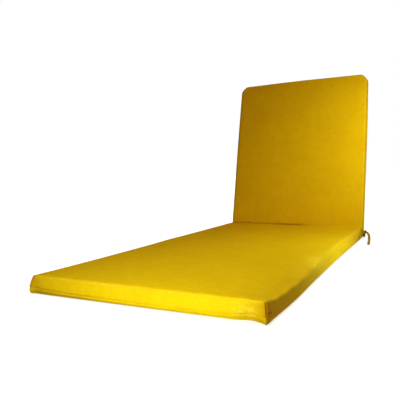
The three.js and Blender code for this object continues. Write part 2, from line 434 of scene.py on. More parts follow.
def strap(name, route, kit, seed):
    step = kit["ringStep"]
    path = curveThrough([(x, y, z) for x, y, z, twist in route], step)
    twists = curveThrough([(twist, 0, n) for n, (x, y, z, twist) in enumerate(route)], 0.02)
    rings = []
    grain = []
    dark = []
    bead, hem, shade = (kit[part] for part in ("bead", "hem", "shade"))
    for n, middle in enumerate(path):
        share = n / (len(path) - 1)
        forward = (path[min(len(path) - 1, n + 1)] - path[max(0, n - 1)]).normalized()
        wide = Vector((0, 0, 1)).cross(forward).normalized()
        twist = twists[round(share * (len(twists) - 1))].x
        wide.rotate(Matrix.Rotation(radians(twist), 3, forward))
        deep = forward.cross(wide)
        away = share * (len(path) - 1) * step
        hemmed = 1 + hem["thicker"] * bell((1 - share) * len(path) * step - hem["at"], hem["at"])
        halfWidth = kit["width"] / 2 * (1 + 0.05 * rough(away * 60, seed))
        cup = kit["cup"] * rough(away * 40, seed + 5)
        depth = shade["start"] * bell(away, shade["startReach"])
        depth = max(depth, shade["end"] * smooth(away, *shade["endFrom"]))
        ring = []
        for side in range(kit["sides"]):
            out, up = squared(2 * pi * side / kit["sides"], *kit["section"])
            thicker = 1 + bead["thicker"] * bell(abs(out) - bead["at"], bead["reach"])
            lift = up * kit["thickness"] / 2 * 0.86 * thicker * hemmed + cup * (out * out - 0.3)
            ring.append(middle + wide * out * halfWidth + deep * lift)
            grain.append((out * halfWidth, away, 0.0))
            dark.append(depth)
        rings.append(ring)
    piece = addPiece(name, *skinRings(rings), shadedTieMaterial)
    keepGrain(piece, grain + [grain[0], grain[-1]])
    keepMarks(piece, "creviceShade", dark + [dark[0], dark[-1]])
    return piece, path


tieKnotted = {  # an overhand knot pulled tight
    "middle": (0.3026, 0.6262, 0.0222),
    "radius": 0.00175,
    "taller": 1.9,
    "deeper": 1.35,
    "strand": 0.0024,
    "strandShape": (0.86, 1.12),
    "count": 132,
    "sides": 18,
    "ridge": 0.1,
    "rough": 0.05,
    # painted shade inside the knot's turns and in two hollows
    "turnShade": 0.06,
    "hollows": (((0.0036, 0.0048), 1.0), ((-0.0048, -0.014), 0.7)),  # across and up, how dark
    "hollowReach": 0.0028,
    # painted light: the knot lies in the seat's shade and is painted paler
    "lightened": 1.0,
    "root": {  # from the fold into the knot; pairs run from the one to the other
        "route": ((0.2915, 0.6281, 0.0301), (0.2955, 0.6276, 0.0277), (0.3, 0.6268, 0.0245)),
        "step": 0.0008,
        "leans": (0.18, 0, 1),
        "halfWidth": (0.0048, 0.0036),
        "halfDepth": (0.0013, 0.0024),
        "section": (0.6, 0.7),
        "grain": (0.005, 0.006),
        "shade": 0.2,
    },
}


def rootRings(kit, sides):
    path = curveThrough(kit["route"], kit["step"])
    rings = []
    grain = []
    for n, place in enumerate(path):
        share = n / (len(path) - 1)
        wide = Vector(kit["leans"]).normalized() * mix(*kit["halfWidth"], share)
        deep = Vector((0, 1, 0)) * mix(*kit["halfDepth"], share)
        ring = []
        for side in range(sides):
            out, up = squared(2 * pi * side / sides, *kit["section"])
            ring.append(place + wide * out + deep * up)
            grain.append((out * kit["grain"][0], share * kit["grain"][1], 0.0))
        rings.append(ring)
    return rings, grain + [grain[-1], grain[-1]]


def knot(name, kit):
    count = kit["count"]
    sides = kit["sides"]
    size = kit["radius"]
    middle = Vector(kit["middle"])
    facing = (Vector(cameraSet["place"]) - middle).normalized()
    sideways = Vector((0, 0, 1)).cross(facing).normalized()
    upward = facing.cross(sideways)
    loops = []
    for n in range(count):  # one turn through itself
        t = 2 * pi * n / count
        flat = (sin(t) + 2 * sin(2 * t), cos(t) - 2 * cos(2 * t))
        depth = -sin(3 * t) * kit["deeper"]
        place = sideways * flat[0] * size + upward * flat[1] * size * kit["taller"]
        loops.append(middle + (place + facing * depth * size))
    rings = []
    grain = []
    dark = []
    for n, place in enumerate(loops):
        forward = (loops[(n + 1) % count] - loops[n - 1]).normalized()
        inward = middle - place
        wide = (inward - forward * inward.dot(forward)).normalized()
        deep = forward.cross(wide)
        ring = []
        for side in range(sides):
            turn = 2 * pi * side / sides
            ridge = kit["ridge"] * sin(turn * 3 + n * 0.11)
            out = kit["strand"] * (1 + ridge + kit["rough"] * rough(n * 0.3, side * 0.8))
            across, through = kit["strandShape"]
            point = place + wide * cos(turn) * out * across + deep * sin(turn) * out * through
            ring.append(point)
            grain.append((turn * out, n * 0.0006, 0.0))
            depth = kit["turnShade"] * max(0.0, cos(turn)) ** 1.5
            seen = Vector(((point - middle).dot(sideways), (point - middle).dot(upward)))
            for spot, strength in kit["hollows"]:
                depth = max(depth, strength * bell((seen - Vector(spot)).length, kit["hollowReach"]))
            dark.append(depth)
        rings.append(ring)
    points, faces = skinRings(rings, closed=True)
    ringsIn, grainIn = rootRings(kit["root"], sides)
    rootPoints, rootFaces = skinRings(ringsIn)
    faces += [tuple(len(points) + k for k in face) for face in rootFaces]
    piece = addPiece(name, points + rootPoints, faces, shadedTieMaterial)
    keepGrain(piece, grain + grainIn)
    keepMarks(piece, "creviceShade", dark + [kit["root"]["shade"]] * len(rootPoints))
    keepMarks(piece, "wearAndPaintedLight", [kit["lightened"]] * (len(points) + len(rootPoints)))
    return piece


tieTail, tailPath = strap("tieTail", tie["tail"], tie, 3.1)
tieShortEnd, shortPath = strap("tieShortEnd", tie["shortEnd"], tie, 8.4)
tieKnot = knot("tieKnot", tieKnotted)
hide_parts("tie_tail")
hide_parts("tie_short_end")
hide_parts("tie_knot")
for strand, route in ((tieTail, tailPath), (tieShortEnd, shortPath)):
    print(strand.name, "made:", round(sum((q - p).length for p, q in zip(route, route[1:])), 4), "m")

# The cushion, laid out flat and then folded up, as in the solid.
cushion = {
    "width": 0.6,
    "seatLength": 1.24,
    "backLength": 0.674,
    "thickness": 0.043,
    "crown": 0.0026,  # before the filling swells it
    "undersize": 0.0004,  # so are the walls
    "lean": 12,  # degrees behind upright
    "footUpperRadius": 0.011,
    "seatUpperRadius": ((0.008, 0.005), (0.005, 0.013)),  # left and right, each front and rear
    "backUpperRadius": 0.006,
    "undersideRadius": 0.009,
    "footCornerUpperRadius": 0.004,
    "footCornerRadius": 0.005,
    "earRadius": 0.006,
    "headCornerRadii": (0.04, 0.035),  # left, right
    "seamHeight": 0.011,
    "seamDepth": 0.0015,
    "seamReach": 0.0014,
    "seamClimb": {"corner": 0.005, "reach": 0.075,
                  "middle": -0.0018, "middleAt": 0.03, "middleReach": 0.13},
    "seatSideLean": ((0.006, 0.0), (0.005, 0.008)),
    "backSideLean": 0.004,
    "footLean": 0.012,
    "headLean": 0.004,
    "leftCornerShare": 0.3,  # how much steeper the left wall is at the foot
    "towardsRear": (0.2, 0.75),  # where the seat's front turns into its rear
    "footTurn": 0.02,
    "sideDraw": 0.004,
    "sideBulge": {"amount": 0.0026, "at": 0.21, "reach": 0.13},  # right side only
    "foldDraw": 0.0035,
    "footDraw": 0.0062,
    "footSkew": 0.0055,
    "footPinch": ((0.004, 0.01, 0.017), (0.0095, 0.043, 0.021)),  # how much, where, reach
    "headBow": (0.006, -0.0008),  # left, right
    "headTaper": (0.0022, 0.0034),
    "cornerReach": 0.028,
    "earReach": 0.011,
    "headReach": 0.18,
    "sideWave": 0.0008,
    "wallReach": 0.045,
    "crownReach": 0.06,
    "creaseDepth": 0.006,
    "creaseHalfWidth": 0.008,
    "creaseRight": {"share": -0.6, "at": (0.03, 0.14)},  # it fills up towards the right
    "notchDepth": 0.02,
    "notchHalfWidth": 0.02,
    "waistDepth": 0.0015,
    "waistReach": 0.013,
    "waistShift": 0.008,
    "mitreReach": 0.045,
    "cornerSeam": {"depth": 0.0013, "reach": 0.0012,
                   "lip": 0.0011, "lipAt": 0.0034, "lipReach": 0.0014},
    "cornerDraw": {"side": 0.0035, "foot": 0.003, "reach": 0.009, "ear": 0.003, "earReach": 0.012,
                   "footLoss": 0.6, "lossRise": (0.026, 0.04)},
    "sideSeamShare": 0.25,  # how much of the seam shows along the sides
    "rightSeamShare": 0.55,  # and at the right end of the foot
    "rightSeamFrom": (-0.1, 0.2),
    "cornerSeamLoss": 0.4,
    "rightShoulder": {
        "drop": 0.0098, "begins": (0.0, 0.14), "ends": (0.36, 0.75), "reach": 0.032,
        "wave": 0.001, "spacing": 0.105,
        "dips": ((0.066, 0.0038, 0.024), (0.215, 0.003, 0.026), (0.3, 0.0026, 0.022),
                 (0.425, 0.003, 0.026))},  # where, how deep, reach
}

half = cushion["width"] / 2
seatLength = cushion["seatLength"]
totalLength = seatLength + cushion["backLength"]
thickness = cushion["thickness"]
seamHeight = cushion["seamHeight"]
touching = 1e-5  # this near counts as on it
lean = radians(cushion["lean"])
mitre = tan((pi / 2 - lean) / 2)


def reaches(x, s):  # from the side, from the nearer end, from the fold
    return half - abs(x), s if s < seatLength else totalLength - s, abs(s - seatLength)


def soften(inset, height, lowRadius, highRadius):
    radius = highRadius if height > thickness / 2 else lowRadius
    centre = Vector((max(inset, radius), min(max(height, lowRadius), thickness - highRadius)))
    spoke = Vector((inset, height)) - centre
    if spoke.length < 1e-9:
        return centre
    return centre + spoke.normalized() * radius


def shapeFlat(across, along, height, seams=True):
    kit = cushion
    atFoot = along < seatLength
    hand = 0 if across < 0 else 1  # left or right
    rightSeat = atFoot and hand == 1
    fromSide, fromEnd, fromFold = reaches(across, along)
    onSeat = smooth(seatLength - along, -kit["creaseHalfWidth"], kit["creaseHalfWidth"])
    towardsRear = smooth(along, *kit["towardsRear"])
    toCorner = hypot(fromSide, fromEnd)
    nearCorner = bell(toCorner, kit["cornerReach"]) if atFoot else 0.0

    depth = min(fromSide, fromEnd)
    lowRadius = mix(kit["undersideRadius"], kit["earRadius"], nearCorner)
    seatRadius = mix(*kit["seatUpperRadius"][hand], towardsRear)
    turned = smooth(fromEnd - fromSide, -kit["footTurn"], kit["footTurn"])
    seatRadius = mix(kit["footUpperRadius"], seatRadius, turned)
    sectionRadius = mix(kit["backUpperRadius"], seatRadius, onSeat)
    highRadius = mix(sectionRadius, kit["footCornerUpperRadius"], nearCorner)
    edge = soften(depth, height, lowRadius, highRadius)
    up = edge.y / thickness
    radius = kit["footCornerRadius"] if atFoot else kit["headCornerRadii"][hand]
    inSide = fromSide
    inEnd = fromEnd
    if fromSide < radius and fromEnd < radius:
        spoke = Vector((radius - fromSide, radius - fromEnd)).normalized() * max(0.0, radius - edge.x)
        inSide = radius - spoke.x
        inEnd = radius - spoke.y
    elif fromSide < fromEnd:
        inSide += edge.x - depth
    else:
        inEnd += edge.x - depth

    slope = up ** 2
    seam = 0.0
    if seams:
        facing = smooth(fromSide - fromEnd, -0.012, 0.004)
        onFront = mix(1, kit["rightSeamShare"], smooth(across, *kit["rightSeamFrom"]))
        shown = mix(kit["sideSeamShare"], onFront, facing) * (1 - kit["cornerSeamLoss"] * nearCorner)
        seam = kit["seamDepth"] * shown * bell(edge.y - seamHeight, kit["seamReach"])
    share = along / seatLength
    wave = kit["sideWave"] * sin(share * pi * 3 + copysign(1, across))
    if atFoot:
        sideDraw = (kit["sideDraw"] + wave) * sin(pi * share) ** 2 + kit["foldDraw"] * share ** 2
        bulge = kit["sideBulge"]
        if rightSeat:
            sideDraw -= bulge["amount"] * bell(along - bulge["at"], bulge["reach"])
        footDraw = kit["footDraw"] + kit["footSkew"] * across / half
        pinch, pinchAt, pinchReach = kit["footPinch"][hand]
        footDraw += pinch * bell(fromSide - pinchAt, pinchReach)
        endSet = kit["footLean"] * slope
        endSet += footDraw * (1 - bell(fromSide, kit["earReach"])) * (1 - slope)
    else:
        sideDraw = kit["foldDraw"] + kit["headTaper"][hand] * bell(fromEnd, kit["headReach"])
        endSet = kit["headLean"] * slope + kit["headBow"][hand] * bell(fromSide, kit["headReach"])
    seatLean = mix(*kit["seatSideLean"][hand], towardsRear)
    if hand == 0:
        slope *= 1 - kit["leftCornerShare"] * nearCorner
    sideSet = mix(kit["backSideLean"], seatLean, onSeat) * slope + sideDraw
    waist = kit["waistDepth"] * bell(along - seatLength + kit["waistShift"], kit["waistReach"])
    slack = kit["undersize"] * smooth(edge.y, seamHeight, seamHeight + 0.008)
    inSide += (sideSet + seam + waist + slack) * exp(-fromSide / kit["wallReach"])
    inEnd += (endSet + seam + slack) * exp(-fromEnd / kit["wallReach"])
    if rightSeat:  # the corner is drawn in where it is sewn
        draw = kit["cornerDraw"]
        aboveSeam = smooth(edge.y, seamHeight - 0.002, seamHeight + 0.005)
        pull = exp(-(fromSide + fromEnd) / draw["reach"]) * aboveSeam
        ear = draw["ear"] * bell(toCorner, draw["earReach"]) * (1 - aboveSeam)
        inSide += draw["side"] * pull + ear
        inEnd += draw["foot"] * pull * (1 - draw["footLoss"] * smooth(edge.y, *draw["lossRise"])) + ear
    if seams and atFoot and edge.y > seamHeight:
        sewn = kit["cornerSeam"]
        join = sewn["depth"] * bell(toCorner, sewn["reach"])
        join -= sewn["lip"] * bell(toCorner - sewn["lipAt"], sewn["lipReach"])
        join *= smooth(edge.y, seamHeight - 0.002, seamHeight + 0.002)
        inSide += join
        inEnd += join

    reach = kit["crownReach"]
    dome = kit["crown"] * easeIn(fromSide, reach) * easeIn(fromEnd, reach) * easeIn(fromFold, reach)
    fills = kit["creaseRight"]
    creased = mix(1, fills["share"], smooth(across, *fills["at"]))
    upper = thickness + dome - kit["creaseDepth"] * creased * lip(fromFold / kit["creaseHalfWidth"])
    if rightSeat:  # the top rolls down to this side's upper seam
        roll = kit["rightShoulder"]
        dropped = roll["drop"] + roll["wave"] * sin(2 * pi * along / roll["spacing"])
        dropped *= smooth(along, *roll["begins"]) * (1 - smooth(along, *roll["ends"]))
        dropped += sum(dip * bell(along - at, reach) for at, dip, reach in roll["dips"])
        upper -= dropped * bell(fromSide, roll["reach"])
    under = kit["notchDepth"] * lip(fromFold / kit["notchHalfWidth"])
    toSeam = min(edge.y / seamHeight, (1 - up) / (1 - seamHeight / thickness))
    sway = kit["seamClimb"]
    climb = sway["corner"] * bell(toCorner, sway["reach"])
    climb += sway["middle"] * bell(across - sway["middleAt"], sway["middleReach"])
    climb *= toSeam if atFoot else 0.0
    flatAlong = inEnd if atFoot else totalLength - inEnd
    return Vector((copysign(half - inSide, across), flatAlong, mix(under, upper, up) + climb))


def foldUp(flat):
    past = flat.y - seatLength
    below = thickness - flat.z
    slant = below * mitre * bell(past, cushion["mitreReach"])
    if past <= 0:
        return Vector((flat.x, past + slant + seatLength / 2, flat.z))
    on = past - slant
    back = seatLength / 2 + on * sin(lean) + below * cos(lean)
    return Vector((flat.x, back, thickness + on * cos(lean) - below * sin(lean)))


def evenRows(start, stop, step):
    count = max(1, ceil((stop - start) / step))
    return [mix(start, stop, n / count) for n in range(1, count)]


def rowsFor(kit):
    edge, fold, step = (kit[part] for part in ("edgeRows", "foldRows", "step"))
    right = [half - row for row in edge]
    inner = evenRows(0, half - edge[-1], step)
    across = sorted({round(x, 6) for row in right + inner for x in (row, -row)} | {0.0})
    along = list(edge) + evenRows(edge[-1], seatLength - fold[-1], step)
    along += [seatLength - row for row in fold] + [seatLength + row for row in fold]
    along += evenRows(seatLength + fold[-1], totalLength - edge[-1], step)
    along += [totalLength - row for row in edge]
    return across, sorted({round(row, 6) for row in along})


def boxSkin(across, along, up):  # the closed outside of a lattice
    index = {}
    points = []
    faces = []

    def at(i, j, k):
        if (i, j, k) not in index:
            index[i, j, k] = len(points)
            points.append((across[i], along[j], up[k]))
        return index[i, j, k]

    def square(place, first, second):  # from this corner, by the two directions in turn
        corners = [list(place) for n in range(4)]
        for n, way in ((1, first), (2, first), (2, second), (3, second)):
            corners[n][way] += 1
        faces.append(tuple(at(*corner) for corner in corners))

    lastI, lastJ, lastK = (len(rows) - 1 for rows in (across, along, up))
    for i in range(lastI):
        for j in range(lastJ):
            square((i, j, 0), 1, 0)
            square((i, j, lastK), 0, 1)
    for k in range(lastK):
        for i in range(lastI):
            square((i, 0, k), 0, 2)
            square((i, lastJ, k), 2, 0)
        for j in range(lastJ):
            square((0, j, k), 2, 1)
            square((lastI, j, k), 1, 2)
    return points, faces


# Filling: a coarse copy of the cover is blown up as cloth, held along its seams.
filling = {
    "edgeRows": (0, 0.006, 0.014, 0.026),
    "foldRows": (0, 0.006, 0.016, 0.03),
    "wallRows": (0, 0.0055, 0.011, 0.019, 0.028, 0.036, 0.043),
    "step": 0.0145,
    "frames": 20,
    "cap": 0.0034,
    "softness": 0.014,
    "held": {"below": 0.0115, "byFold": 0.004, "above": 0.04, "byEdge": 0.001},
    "cloth": {"quality": 6, "mass": 0.35, "tension_stiffness": 18, "compression_stiffness": 18,
              "shear_stiffness": 6, "bending_stiffness": 0.6, "use_pressure": True,
              "uniform_pressure_force": 4.0, "shrink_min": -0.004, "vertex_group_mass": "held"},
}


def swell(kit):
    params, faces = boxSkin(*rowsFor(kit), kit["wallRows"])
    rest = [foldUp(shapeFlat(*p, seams=False)) for p in params]
    mesh = bpy.data.meshes.new("swelling")
    mesh.from_pydata(rest, [], faces)
    bag = bpy.data.objects.new("swelling", mesh)
    putInScene(bag)
    held = bag.vertex_groups.new(name="held")
    limit = kit["held"]
    for n, (x, s, h) in enumerate(params):
        fromSide, fromEnd, fromFold = reaches(x, s)
        atRim = h > limit["above"] and min(fromSide, fromEnd) < limit["byEdge"]
        if h < limit["below"] or fromFold < limit["byFold"] or atRim:
            held.add([n], 1.0, "REPLACE")
    cloth = bag.modifiers.new("Cloth", "CLOTH")
    for name, value in kit["cloth"].items():
        setattr(cloth.settings, name, value)
    cloth.settings.effector_weights.gravity = 0
    cloth.collision_settings.use_collision = False
    cloth.point_cache.frame_start = 1
    cloth.point_cache.frame_end = kit["frames"]
    for step in range(1, kit["frames"] + 1):
        scene.frame_set(step)
    shaped = bag.evaluated_get(bpy.context.evaluated_depsgraph_get()).to_mesh()
    moves = [v.co - r for v, r in zip(shaped.vertices, rest)]
    longest = max(move.length for move in moves)
    scene.frame_set(1)
    bpy.data.objects.remove(bag)
    # the seams and the foam keep the cloth under the cap
    moves = [move * (kit["cap"] / (kit["softness"] + move.length)) for move in moves]
    kept = max(move.length for move in moves)
    print("filling swelled: longest move", round(longest, 4), "kept", round(kept, 4))
    return rest, faces, moves


def carry(points, rest, faces, moves):  # along with the nearest place on the coarse copy
    tree = BVHTree.FromPolygons(rest, faces)
    out = []
    for point in points:
        place, normal, face, distance = tree.find_nearest(point)
        corners = faces[face]
        weights = poly_3d_calc([rest[n] for n in corners], place)
        out.append(point + sum((moves[n] * w for n, w in zip(corners, weights)), Vector()))
    return out


# The cover, with close rows of points at its edges, seams and fold.
cover = {
    "edgeRows": (0, 0.0008, 0.0016, 0.0026, 0.0038, 0.0052, 0.0075, 0.011, 0.016, 0.022, 0.029),
    "foldRows": (0, 0.002, 0.004, 0.0065, 0.0095, 0.013, 0.018, 0.024, 0.031),
    "wallRows": (0, 0.002, 0.0045, 0.007, 0.0088, 0.0099, 0.011, 0.0121, 0.0132,
                 0.0148, 0.0166, 0.0177, 0.0189, 0.0235, 0.028, 0.032, 0.0355, 0.039, 0.0415, 0.043),
    "step": 0.0082,
    "closeBand": 0.023,
    "splitAbove": 0.003,
    "longEdge": 0.005,
    "seamPuckers": {"spacing": 0.015, "height": 0.00055, "reach": 0.008},
    "foldPuckers": {"spacing": 0.026, "height": 0.0008, "reach": 0.02, "flatWithin": 0.004},
    "rimPuckers": {"spacing": 0.019, "height": 0.00045, "reach": 0.016, "at": 0.01,
                   "headRight": 1.6, "elsewhere": 0.8},
    "headPuckers": {"height": 0.0007, "at": 0.02, "reach": 0.03, "across": 16, "rise": (0.012, 0.035),
                    "centre": 0.004, "shown": 0.6},
    "unevenness": {"height": 0.0007, "broad": 7, "fine": (19, 15), "fineShare": 0.45},
}


def ridges(run, kit, seed):  # irregular gathers along a seam
    drift = rough(run * 9, seed) * 0.9
    strength = 0.65 + 0.7 * rough(run * 5, seed + 11)
    return cos(2 * pi * (run / kit["spacing"] + drift)) * max(0.1, strength)


def puckerHeight(x, s, h):
    fromSide, fromEnd, fromFold = reaches(x, s)
    run = s if fromSide < fromEnd else x
    lift = 0.0
    seam = cover["seamPuckers"]
    if min(fromSide, fromEnd) < touching:
        away = abs(h - seamHeight)
        lift += seam["height"] * ridges(run, seam, 2.0) * exp(-away / seam["reach"])
    if h > thickness - touching:
        fold = cover["foldPuckers"]
        near = exp(-fromFold / fold["reach"]) * (1 - exp(-fromFold / fold["flatWithin"]))
        lift += fold["height"] * ridges(x, fold, 5.0 if s < seatLength else 7.0) * near
        rim = cover["rimPuckers"]
        depth = min(fromSide, fromEnd)
        near = exp(-abs(depth - rim["at"]) / rim["reach"])
        strength = rim["headRight"] if s > seatLength + 0.1 and x > 0 else rim["elsewhere"]
        lift += rim["height"] * strength * ridges(run, rim, 9.0) * near
        uneven = cover["unevenness"]
        broad = rough(x * uneven["broad"], s * uneven["broad"], 1.0)
        fine = rough(x * uneven["fine"][0], s * uneven["fine"][1], 4.0)
        lift += uneven["height"] * (broad + uneven["fineShare"] * fine)
    if s > seatLength and h > seamHeight:
        head = cover["headPuckers"]
        near = bell(hypot(fromSide, fromEnd) - head["at"], head["reach"])
        turn = atan2(fromEnd + head["centre"], fromSide + head["centre"])
        fan = cos(turn * head["across"] + x)
        lift += head["height"] * near * fan * smooth(h, *head["rise"]) * head["shown"]
    return lift


def grainOf(x, s, h):  # where this point lies on the unrolled cloth
    drop = thickness - h
    fromSide, fromEnd = reaches(x, s)[:2]
    if fromSide < fromEnd and fromSide < touching:
        return x + copysign(drop, x), s, 0.0
    if fromEnd < touching:
        return x, s - drop if s < seatLength else s + drop, 0.0
    return x, s, 0.0


# Painted shade in the seams, the tuck, beside the front right corner, in the crease slit and along the
# fold.
creviceShades = {
    "boxing": {
        "reach": 0.001, "strength": 0.42, "sideShare": 0.2, "frontTo": 0.004, "wander": 0.0005,
        "front": (
            (-0.3, 0.55), (-0.22, 0.35), (-0.15, 0.6), (-0.115, 0.55), (-0.09, 0.15), (-0.06, 0.35),
            (-0.03, 0.2), (0.03, 0.2), (0.095, 0.0), (0.115, 0.9), (0.13, 0.9), (0.148, 0.05),
            (0.175, 0.5), (0.205, 0.45), (0.225, 0.3), (0.245, 0.9), (0.265, 0.6), (0.3, 0.4))},
    "tuck": {"reach": 0.0013, "above": 0.0066, "begins": (-0.002, 0.004), "ends": (0.021, 0.028)},
    "corner": {"reach": 0.0021, "strength": 1.0, "foot": 0.0045, "halo": 0.85, "sideHalo": 0.55,
               "haloReach": 0.0078, "upTo": 0.03, "slack": 0.001},
    "slit": {"reach": 0.004, "strength": 1.0, "from": (-0.15, -0.04), "to": (0.02, 0.06)},
    "fold": {"reach": 0.005, "strength": 0.3},
}


def creviceShadeAt(x, s, h):  # how much painted shade this point gets in the seams, the corner and the crease, 0 to 1
    fromSide, fromEnd, fromFold = reaches(x, s)
    depth = 0.0
    if min(fromSide, fromEnd) < touching:
        kit = creviceShades["boxing"]
        run = s if fromSide < fromEnd else x
        even = 0.45 + 0.9 * rough(run * 11, 3.7) + 0.5 * rough(run * 37, 1.2)
        if s < kit["frontTo"]:
            even = between(kit["front"], x) * (1 + 0.4 * rough(run * 40, 1.2))
        else:
            even *= kit["sideShare"]
        wander = kit["wander"] * rough(run * 30, 8.1)
        seam = bell(h - seamHeight - wander, kit["reach"]) * kit["strength"]
        depth = max(depth, seam * inShare(even))
        tuck = creviceShades["tuck"]
        if x > 0 and fromSide < touching and s < tuck["ends"][1]:  # short, beside the corner
            line = bell(h - seamHeight - tuck["above"], tuck["reach"])
            depth = max(depth, line * smooth(s, *tuck["begins"]) * (1 - smooth(s, *tuck["ends"])))
    kit = creviceShades["corner"]
    if s < kit["upTo"] and h > seamHeight - kit["slack"]:
        sewn = smooth(h - seamHeight, 0.0, kit["foot"])
        depth = max(depth, kit["strength"] * sewn * bell(hypot(fromSide, fromEnd), kit["reach"]))
        if s < touching:  # shaded beside the seam
            depth = max(depth, kit["halo"] * exp(-fromSide / kit["haloReach"]))
        elif fromSide < touching:
            depth = max(depth, kit["sideHalo"] * exp(-fromEnd / kit["haloReach"]))
    if h > thickness - touching:
        kit = creviceShades["fold"]
        opened = 1 - smooth(x, *cushion["creaseRight"]["at"])
        depth = max(depth, kit["strength"] * opened * bell(fromFold, kit["reach"]))
        kit = creviceShades["slit"]
        along = smooth(x, *kit["from"]) * (1 - smooth(x, *kit["to"]))
        depth = max(depth, kit["strength"] * along * bell(fromFold, kit["reach"]))
    return depth


# Painted shade: the right wall's end by the fold, the right wall towards the foot, the foot of the front
# wall and the back's left top edge.
paintedShade = {
    "foot": (0.84, 0.98),  # the wall towards the tie: how much, from where
    "rim": (0.36, 1.19),
    "reach": 0.12,
    "wallBand": 0.004,
    "aboveFold": 0.01,
    "front": ((-0.3, 0.1), (-0.27, 0.26), (-0.15, 0.32), (-0.11, 0.08), (0.05, 0.1), (0.11, 0.22),
              (0.16, 0.3), (0.21, 0.22), (0.24, 0.1), (0.3, 0.1)),
    "frontHeight": 0.018,
    "right": ((0.0, 0.12), (0.25, 0.11), (0.32, 0.16), (0.42, 0.21), (0.5, 0.15), (0.57, 0.1),
              (0.66, 0.0)),
    "leftEdge": {"strength": 0.62, "reach": 0.009},
}


def paintedShadeAt(x, s, h):  # how much painted shade this point gets, 0 to 1
    if x > half - paintedShade["wallBand"] and s <= seatLength:
        strength, begins = (mix(*ends, h / thickness) for ends in zip(paintedShade["foot"], paintedShade["rim"]))
        foldEndShade = smooth(s, begins, begins + paintedShade["reach"]) * (0.8 + rough(s * 90, h * 90))
        return max(foldEndShade * strength, between(paintedShade["right"], s))
    if s < touching:
        patchy = 0.9 + 0.6 * rough(x * 24, h * 60)
        return between(paintedShade["front"], x) * patchy * (1 - smooth(h, 0.0, paintedShade["frontHeight"]))
    if s > seatLength + paintedShade["aboveFold"] and x < 0:
        edge = paintedShade["leftEdge"]
        return edge["strength"] * bell(hypot(half + x, thickness - h), edge["reach"])
    return 0.0


# Real wear along all rims; painted highlights along the front rim, beside the foot's seam, on the corner
# seam's lips and in two patches on the front wall and the right rim.
wearAndPaintedLight = {
    "footTo": 0.02,
    "frontRimHighlight": {"strength": 0.55, "reach": 0.0035},
    "lip": {"strength": 0.45, "at": 0.003, "reach": 0.0011},
    "rim": {"strength": 0.2, "reach": 0.004},
    "seamLipHighlight": {"strength": 0.5, "away": 0.0042, "reach": 0.0012, "ends": (-0.2, -0.06)},
    "paintedHighlights": (((0.252, 0.0, 0.02), (0.022, 0.004, 0.016), 0.8),  # middle, reach, strength
                 ((0.288, 0.47, 0.043), (0.026, 0.06, 0.02), 0.9)),
}


def wearAndPaintedLightAt(x, s, h):  # how pale this point is, 0 to 1: real wear along the rims, painted highlights and painted light elsewhere
    fromSide, fromEnd = reaches(x, s)[:2]
    fromRim = hypot(thickness - h, min(fromSide, fromEnd))
    lightened = wearAndPaintedLight["rim"]["strength"] * bell(fromRim, wearAndPaintedLight["rim"]["reach"])
    # painted highlights along the front rim, beside the seam on the foot's left part and on the corner
    # seam's lips
    if s < wearAndPaintedLight["footTo"]:
        rim = wearAndPaintedLight["frontRimHighlight"]
        patchy = inShare(0.55 + 1.4 * rough(x * 16, 6.3))
        lightened = max(lightened, rim["strength"] * patchy * bell(fromRim, rim["reach"]))
        lower = wearAndPaintedLight["seamLipHighlight"]
        near = bell(abs(h - seamHeight) - lower["away"], lower["reach"])
        near *= (1 - smooth(x, *lower["ends"])) * inShare(0.5 + 1.6 * rough(x * 22, h * 160))
        lightened = max(lightened, lower["strength"] * near)
        if h > seamHeight:
            sewn = wearAndPaintedLight["lip"]
            near = bell(hypot(fromSide, fromEnd) - sewn["at"], sewn["reach"])
            lightened = max(lightened, sewn["strength"] * near)
    for middle, reach, strength in wearAndPaintedLight["paintedHighlights"]:
        away = sum(((p - m) / r) ** 2 for p, m, r in zip((x, s, h), middle, reach))
        lightened = max(lightened, strength * exp(-away))
    return lightened


def makeCover():
    params, faces = boxSkin(*rowsFor(cover), cover["wallRows"])
    # split the edges beside a seam, for the puckers to stand on
    mesh = bmesh.new()
    corners = [mesh.verts.new(p) for p in params]
    for face in faces:
        mesh.faces.new([corners[n] for n in face])
    band = cover["closeBand"]
    split = []
    for edge in mesh.edges:
        a, b = (v.co for v in edge.verts)
        middle = (a + b) / 2
        if middle.z < cover["splitAbove"]:
            continue
        alongRun = abs(a.y - b.y) > cover["longEdge"]
        acrossRun = abs(a.x - b.x) > cover["longEdge"]
        fromSide, fromEnd, fromFold = reaches(middle.x, middle.y)
        if (alongRun and fromSide < band) or (acrossRun and min(fromEnd, fromFold) < band):
            split.append(edge)
    bmesh.ops.subdivide_edges(mesh, edges=split, cuts=1, use_grid_fill=True)
    flat = [v.co.copy() for v in mesh.verts]
    mesh.verts.index_update()
    faces = [tuple(v.index for v in face.verts) for face in mesh.faces]
    mesh.free()
    points = [foldUp(shapeFlat(*p)) for p in flat]
    points = carry(points, *swell(filling))
    piece = addPiece("paddedCushion", points, faces, coverMaterial)
    keepGrain(piece, [grainOf(*p) for p in flat])
    for mark, markAt in (("creviceShade", creviceShadeAt), ("wearAndPaintedLight", wearAndPaintedLightAt), ("paintedShade", paintedShadeAt)):
        keepMarks(piece, mark, [markAt(*p) for p in flat])
    normals = [v.normal.copy() for v in piece.data.vertices]
    for vertex, normal, p in zip(piece.data.vertices, normals, flat):
        vertex.co += normal * puckerHeight(*p)
    piece.data.update()
    return piece


paddedCushion = makeCover()
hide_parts("cushion")
triangles = sum(len(face.vertices) - 2 for face in paddedCushion.data.polygons)
print("cushion cover made:", triangles, "triangles")

# Light and ground. The cushion has its own soft lamps, the ground its broad ones.
studio = {
    "floor": (0.9, 0.9, 0.89, 1),
    "floorDeeper": (0.8, 0.8, 0.8, 1),
    "floorReach": 24,
    "floorHeight": -0.0004,
    "ambient": (0.2983, 0.1855, 0.05, 1),
    "backdrop": (1, 1, 1, 1),
}

